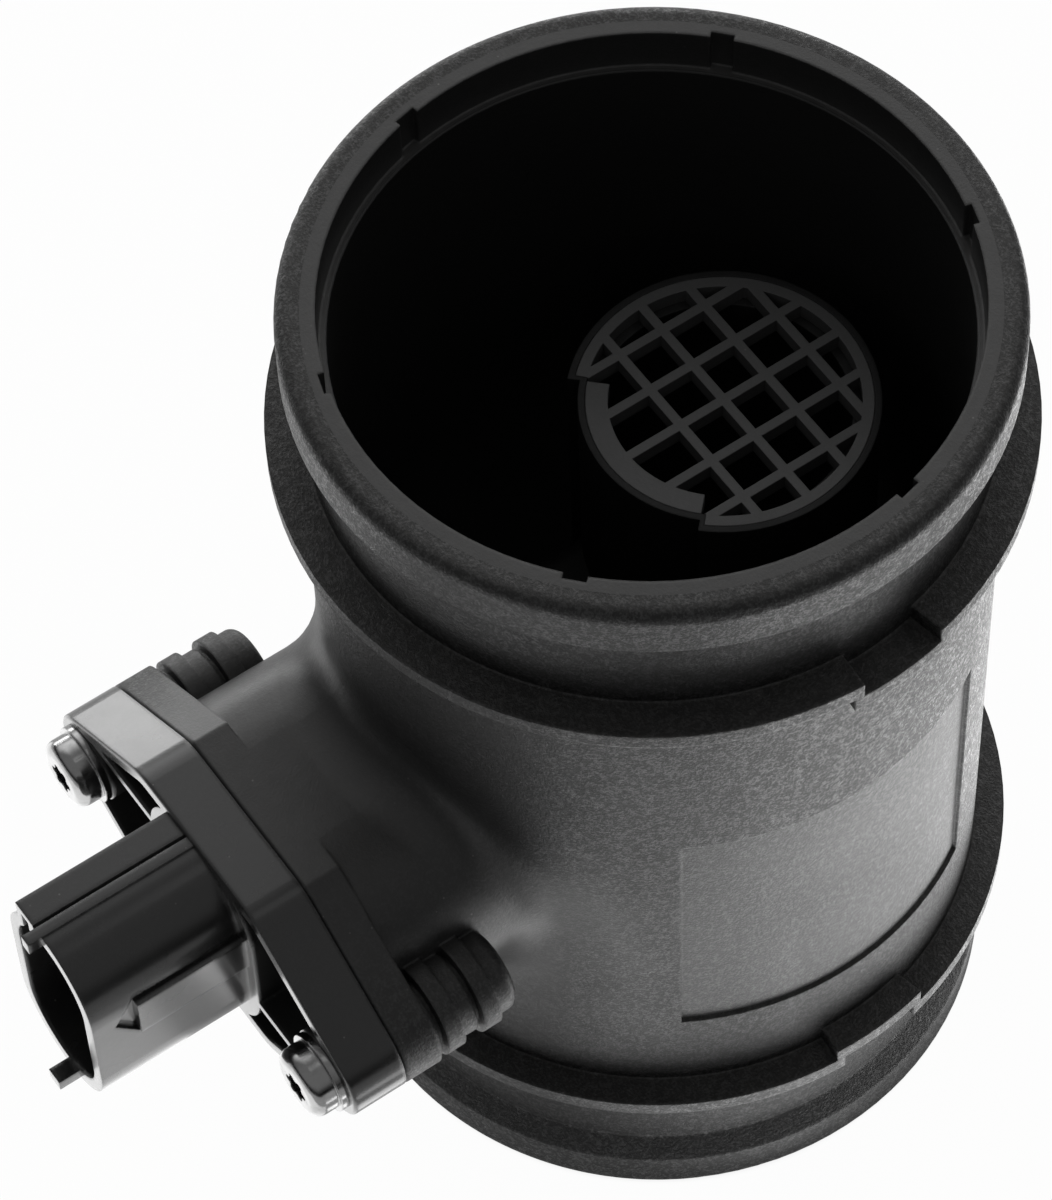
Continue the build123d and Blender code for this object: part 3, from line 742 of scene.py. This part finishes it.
Finish = MouldedPlastic | TubeSkin | WorkedMetal | SoftSheen | ClearFill


class Slot(Enum):
    """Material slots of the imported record."""

    HOUSING = "housing_plastic"
    DUCT = "duct_plastic"
    GRILLE = "grille_plastic"
    MODULE = "module_plastic"
    SEAL = "seal_rubber"
    CONTACT = "contact_metal"
    BASE = "base_aluminium"
    BOARD = "board_laminate"
    CHIP = "chip_plastic"
    CAPACITOR = "capacitor_body"
    GEL = "clear_gel"
    CARRIER = "carrier_plastic"
    FILM = "film_glass"
    SCREW = "screw_chrome"


FINISHES: dict[Slot, Finish] = {
    # Housing: the valley and bore colours are painted shade, the paler grain colours painted glints.
    Slot.HOUSING: TubeSkin(
        "grained_black_plastic", plain=grey(0.026), valley=grey(0.002), fleck_and_glint=grey(0.050),
        pad_valley=grey(0.034), pad_fleck_and_glint=grey(0.105), bore=grey(0.016), rub_and_highlight=grey(0.08),
        roughness=0.36, grained_roughness=0.40, valley_roughness=0.28, grains_per_metre=3000.0,
        grain_depth=0.00016, edge_radius=0.0005, dust=0.25, film=0.055, specular=0.5),
    # Painted shade: the duct in the bore and the electronics cover are coloured almost black, standing in
    # for shade.
    Slot.DUCT: MouldedPlastic(
        "black_plastic_painted_shade", colour=grey(0.009), fleck_and_glint=grey(0.018), rub_and_highlight=grey(0.03), roughness=0.60,
        roughness_spread=0.05, grains_per_metre=2600.0, grain_depth=0.00006, glint_share=0.5,
        edge_radius=0.0003, dust=0.05, specular=0.25),
    Slot.GRILLE: MouldedPlastic(
        "grille_grey_plastic", colour=grey(0.062), fleck_and_glint=grey(0.076), rub_and_highlight=grey(0.10), roughness=0.55,
        roughness_spread=0.05, grains_per_metre=2600.0, grain_depth=0.00005, glint_share=0.5,
        edge_radius=0.0002, dust=0.2),
    Slot.MODULE: MouldedPlastic(
        "satin_black_plastic", colour=grey(0.012), fleck_and_glint=grey(0.027), rub_and_highlight=grey(0.08), roughness=0.29,
        roughness_spread=0.05, grains_per_metre=3600.0, grain_depth=0.000016, glint_share=0.4,
        edge_radius=0.0008, dust=0.3, coat=0.65, coat_roughness=0.16),
    Slot.SEAL: SoftSheen(
        "seal_rubber", colour=grey(0.018), patch_and_glint=grey(0.03), roughness=0.55, grains_per_metre=1800.0,
        grain_depth=0.00003, edge_radius=0.0002),
    Slot.CONTACT: WorkedMetal(
        "contact_brass", colour=(0.62, 0.43, 0.17, 1.0), dull=(0.40, 0.27, 0.11, 1.0), roughness=0.28,
        roughness_spread=0.06, scratch_depth=0.000008, edge_radius=0.0001),
    Slot.BASE: WorkedMetal(
        "base_aluminium", colour=grey(0.60), dull=grey(0.42), roughness=0.38, roughness_spread=0.08,
        scratch_depth=0.000010, edge_radius=0.0002),
    Slot.BOARD: SoftSheen(
        "board_laminate", colour=(0.02, 0.10, 0.045, 1.0), patch_and_glint=(0.05, 0.17, 0.08, 1.0), roughness=0.42,
        grains_per_metre=1500.0, grain_depth=0.00001, edge_radius=0.0001),
    Slot.CHIP: SoftSheen(
        "chip_epoxy", colour=grey(0.02), patch_and_glint=grey(0.045), roughness=0.48, grains_per_metre=5200.0,
        grain_depth=0.00001, edge_radius=0.0001),
    Slot.CAPACITOR: SoftSheen(
        "capacitor_ceramic", colour=(0.42, 0.30, 0.19, 1.0), patch_and_glint=(0.52, 0.40, 0.27, 1.0),
        roughness=0.40, grains_per_metre=4200.0, grain_depth=0.000006, edge_radius=0.0001),
    Slot.GEL: ClearFill(
        "potting_gel", colour=(0.86, 0.90, 0.92, 1.0), roughness=0.08, refraction=1.41, transmission=1.0),
    Slot.CARRIER: SoftSheen(
        "carrier_plastic", colour=grey(0.03), patch_and_glint=grey(0.05), roughness=0.42, grains_per_metre=2800.0,
        grain_depth=0.00002, edge_radius=0.0002),
    Slot.FILM: ClearFill(
        "sensor_glass", colour=(0.35, 0.48, 0.52, 1.0), roughness=0.06, refraction=1.50,
        transmission=0.35),
    Slot.SCREW: WorkedMetal(
        "bright_screw_steel", colour=grey(0.36), dull=grey(0.22), roughness=0.17, roughness_spread=0.05,
        scratch_depth=0.000006, edge_radius=0.00025),
}


class Paintshop:
    """Makes each finish once and puts it on the pieces."""

    def __init__(self) -> None:
        """Builds the shared effects and every finish."""
        effects = EffectLibrary()
        self.materials = {slot: finish.build(effects) for slot, finish in FINISHES.items()}

    def dress(self, piece: bpy.types.Object, slot: Slot) -> None:
        """Gives a piece the finish of a slot.

        Args:
            piece: the mesh to finish.
            slot: the record's slot.
        """
        piece.data.materials.clear()
        piece.data.materials.append(self.materials[slot])
        log.info("%s: %s", piece.name, self.materials[slot].name)


# --- sub-assemblies ----------------------------------------------------------------------------


@dataclass
class SubAssembly:
    """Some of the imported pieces, which come apart together."""

    nodes: dict[str, bpy.types.Object]

    def slots(self) -> dict[str, Slot]:
        """The slot of each of its pieces."""
        raise NotImplementedError

    def dress(self, shop: Paintshop) -> None:
        """Finishes its pieces."""
        for name, slot in self.slots().items():
            shop.dress(self.nodes[name], slot)


class TubeBody(SubAssembly):
    """The moulded tube with its port."""

    def slots(self) -> dict[str, Slot]:
        """The slot of the one moulding."""
        return {"tube_housing": Slot.HOUSING}


class AirMeter(SubAssembly):
    """The duct in the bore, its grille and the elements in the air stream."""

    def slots(self) -> dict[str, Slot]:
        """The slots of the duct, the grille and the elements."""
        return {"measuring_duct": Slot.DUCT, "inlet_grille": Slot.GRILLE, "sensor_carrier": Slot.CARRIER,
                "sensor_film": Slot.FILM, "thermistor_leads": Slot.CONTACT, "air_thermistor": Slot.CHIP}


class PlugInModule(SubAssembly):
    """The bolted module: its moulding, contacts, seal, electronics and screws."""

    def slots(self) -> dict[str, Slot]:
        """The slots of the module's pieces, with each contact pin.

        Returns:
            The slot of each piece, by name.
        """
        pieces = {"module_body": Slot.MODULE, "electronics_cover": Slot.DUCT, "port_seal": Slot.SEAL,
                  "base_plate": Slot.BASE, "circuit_board": Slot.BOARD, "bond_strips": Slot.CONTACT,
                  "control_chip": Slot.CHIP, "board_capacitors": Slot.CAPACITOR, "cavity_gel": Slot.GEL,
                  "mounting_screws": Slot.SCREW}
        pins = (name for name in sorted(self.nodes) if name.startswith("contact_pin"))
        return pieces | dict.fromkeys(pins, Slot.CONTACT)


# --- studio ------------------------------------------------------------------------------------


def bearing(azimuth: float, elevation: float) -> Vector:
    """Direction from the object outwards.

    Args:
        azimuth: degrees round from -Y towards +X.
        elevation: degrees above the horizon.

    Returns:
        The unit vector.
    """
    turn, lift = math.radians(azimuth), math.radians(elevation)
    return Vector((math.sin(turn) * math.cos(lift), -math.cos(turn) * math.cos(lift), math.sin(lift)))


@dataclass(frozen=True)
class SoftBox:
    """A soft lamp that hangs round the object and aims at its middle."""

    name: str
    azimuth: float
    elevation: float
    distance: float
    width: float
    height: float
    power: float

    def hang(self, target: Vector) -> None:
        """Adds the lamp.

        Args:
            target: the point that it aims at.
        """
        lamp = bpy.data.lights.new(self.name, "AREA")
        lamp.shape = "RECTANGLE"
        lamp.size = self.width
        lamp.size_y = self.height
        lamp.energy = self.power
        holder = bpy.data.objects.new(self.name, lamp)
        holder.visible_camera = False
        away = bearing(self.azimuth, self.elevation)
        holder.location = target + away * self.distance
        holder.rotation_euler = away.to_track_quat("Z", "Y").to_euler()
        bpy.context.scene.collection.objects.link(holder)
        log.info("%s: lamp of %.3f W", self.name, self.power)


@dataclass(frozen=True)
class FloorPanel:
    """A light panel that lies on the floor beside the object and shines up past it."""

    name: str
    azimuth: float
    near: float
    width: float
    depth: float
    power: float
    shift: float = 0.0
    lift: float = 0.001

    def lay(self) -> None:
        """Adds the panel, its near edge square to its bearing from the tube's axis."""
        lamp = bpy.data.lights.new(self.name, "AREA")
        lamp.shape = "RECTANGLE"
        lamp.size = self.width
        lamp.size_y = self.depth
        lamp.energy = self.power
        holder = bpy.data.objects.new(self.name, lamp)
        holder.visible_camera = False
        out, across = bearing(self.azimuth, 0.0), bearing(self.azimuth + 90.0, 0.0)
        holder.location = out * (self.near + self.depth / 2) + across * self.shift
        holder.location.z = self.lift
        holder.rotation_euler = (math.pi, 0.0, math.radians(self.azimuth))
        bpy.context.scene.collection.objects.link(holder)
        log.info("%s: panel of %.3f W", self.name, self.power)


class SkyBand(Enum):
    """Height of a part of the surround."""

    LOW = "low"
    HIGH = "high"


@dataclass(frozen=True)
class SkySector:
    """One side of the surround, by its bearing in degrees, and how bright it is."""

    band: SkyBand
    azimuth: float
    level: float


@dataclass(frozen=True)
class Studio:
    """Pale floor, the surround, the soft boxes and the floor panels."""

    floor_half: float = 1.6
    floor_drop: float = 0.0002
    floor_white: float = 0.82
    white_share: float = 0.975
    mirrored_share: float = 0.35
    tube_radius: float = 0.036
    tube_blend: float = 0.004
    overhead: float = 0.27
    horizon_top: float = 4.0
    overhead_start: float = 30.0
    sector_edge: float = 75.0
    sector_core: float = 15.0
    sectors: tuple[SkySector, ...] = (
        SkySector(SkyBand.HIGH, azimuth=240.0, level=1.5),
        SkySector(SkyBand.LOW, azimuth=180.0, level=0.15),
    )
    lamps: tuple[SoftBox, ...] = (
        SoftBox("left_strip", azimuth=252.0, elevation=0.0, distance=0.5, width=0.6, height=0.11,
                power=0.80),
        SoftBox("top_softbox", azimuth=172.0, elevation=74.0, distance=1.0, width=0.25, height=0.25,
                power=0.08),
    )
    panels: tuple[FloorPanel, ...] = (
        FloorPanel("right_panel", azimuth=136.0, near=0.0425, width=0.34, depth=0.10, power=0.24,
                   shift=0.05),
        FloorPanel("front_panel", azimuth=0.0, near=0.060, width=0.30, depth=0.18, power=0.18,
                   shift=-0.06),
        FloorPanel("corner_panel", azimuth=80.0, near=0.0425, width=0.09, depth=0.03, power=0.016),
    )

    def build(self, target: Vector) -> None:
        """Lays the floor, sets the surround, hangs the lamps and lays the panels.

        Args:
            target: middle of the object.
        """
        self.lay_floor()
        self.set_surround()
        for lamp in self.lamps:
            lamp.hang(target)
        for panel in self.panels:
            panel.lay()

    def show_white(self, tree: NodeTree, lit: bpy.types.NodeSocket,
                   share: bpy.types.NodeSocket) -> bpy.types.NodeSocket:
        """Mixes plain white into what the camera and the reflections see.

        Args:
            tree: the material's tree.
            lit: shader that the lamps light.
            share: how much plain white there is in what the camera sees.

        Returns:
            The mixed shader.
        """
        path = tree.add("ShaderNodeLightPath")
        mirrored = tree.math("MULTIPLY", path.outputs["Is Glossy Ray"], self.mirrored_share)
        seen = tree.math("MAXIMUM", tree.math("MULTIPLY", path.outputs["Is Camera Ray"], self.white_share),
                         mirrored)
        seen = tree.math("MAXIMUM", seen, path.outputs["Is Transmission Ray"])
        white = tree.add("ShaderNodeEmission", {"Color": WHITE, "Strength": 1.0})
        mixed = tree.add("ShaderNodeMixShader", {0: tree.math("MULTIPLY", seen, share), 1: lit,
                                                 2: white.outputs[0]})
        return mixed.outputs[0]

    def lay_floor(self) -> None:
        """Pale floor just under the lower rim."""
        half, low = self.floor_half, -self.floor_drop
        corners = [(-half, -half, low), (half, -half, low), (half, half, low), (-half, half, low)]
        mesh = bpy.data.meshes.new("studio_floor")
        mesh.from_pydata(corners, [], [(0, 1, 2, 3)])
        floor = bpy.data.objects.new("studio_floor", mesh)
        bpy.context.scene.collection.objects.link(floor)
        material = bpy.data.materials.new("pale_floor")
        material.use_nodes = True
        tree = NodeTree(material.node_tree)
        lit = tree.add("ShaderNodeBsdfDiffuse", {"Color": grey(self.floor_white)})
        place = tree.add("ShaderNodeTexCoord").outputs["Object"]
        apart = tree.add("ShaderNodeVectorMath", {0: place}, operation="LENGTH").outputs["Value"]
        open_floor = tree.span(apart, self.tube_radius, self.tube_radius + self.tube_blend)
        shown = self.show_white(tree, lit.outputs[0], open_floor)
        tree.add("ShaderNodeOutputMaterial", {"Surface": shown})
        mesh.materials.append(material)
        floor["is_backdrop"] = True

    def set_surround(self) -> None:
        """Light tent: dim overhead, brighter on a few sides, and white to the camera."""
        world = bpy.data.worlds.new("light_tent")
        world.use_nodes = True
        tree = NodeTree(world.node_tree)
        outward = tree.add("ShaderNodeTexCoord").outputs["Generated"]
        rise = tree.add("ShaderNodeSeparateXYZ", {0: outward}).outputs["Z"]
        high = tree.span(rise, math.sin(math.radians(self.horizon_top)),
                         math.sin(math.radians(self.overhead_start)))
        bands = {SkyBand.LOW: tree.math("SUBTRACT", 1.0, high), SkyBand.HIGH: high}
        wall = tree.math("MULTIPLY", high, self.overhead)
        for sector in self.sectors:
            towards = tree.add("ShaderNodeVectorMath", {0: outward, 1: bearing(sector.azimuth, 0.0)},
                               operation="DOT_PRODUCT").outputs["Value"]
            share = tree.span(towards, math.cos(math.radians(self.sector_edge)),
                              math.cos(math.radians(self.sector_core)), 0.0, sector.level)
            wall = tree.math("MULTIPLY_ADD", share, bands[sector.band], wall)
        path = tree.add("ShaderNodeLightPath")
        seen = tree.math("MAXIMUM", path.outputs["Is Camera Ray"], path.outputs["Is Transmission Ray"])
        strength = tree.math("MAXIMUM", seen, wall)
        light = tree.add("ShaderNodeBackground", {"Color": WHITE, "Strength": strength})
        tree.add("ShaderNodeOutputWorld", {"Surface": light.outputs[0]})
        bpy.context.scene.world = world


@dataclass(frozen=True)
class ViewCamera:
    """Camera that looks down into the upper mouth over the port."""

    place: tuple[float, float, float] = (0.2720895, -0.1905191, 0.59186)
    azimuth: float = 57.5335
    elevation: float = 57.5035
    roll: float = -2.712
    sensor: float = 36.0
    lens: float = 161.75

    def build(self) -> None:
        """Adds the camera and makes it the scene's own."""
        data = bpy.data.cameras.new("view_camera")
        data.sensor_fit = "VERTICAL"
        data.sensor_height = self.sensor
        data.lens = self.lens
        camera = bpy.data.objects.new("view_camera", data)
        turn = bearing(self.azimuth, self.elevation).to_track_quat("Z", "Y").to_matrix()
        turn = turn @ Matrix.Rotation(math.radians(self.roll), 3, "Z")
        camera.matrix_world = Matrix.Translation(self.place) @ turn.to_4x4()
        bpy.context.scene.collection.objects.link(camera)
        bpy.context.scene.camera = camera


def main() -> None:
    """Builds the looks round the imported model."""
    logging.basicConfig(level=logging.INFO, format="%(name)s: %(message)s")
    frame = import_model()
    cad_low, cad_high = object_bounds()
    shop = Paintshop()
    for assembly in (TubeBody(frame["nodes"]), AirMeter(frame["nodes"]), PlugInModule(frame["nodes"])):
        assembly.dress(shop)
    Studio().build((cad_low + cad_high) / 2)
    ViewCamera().build()
    bpy.context.scene.view_settings.view_transform = "Standard"


if __name__ == "__main__":
    main()
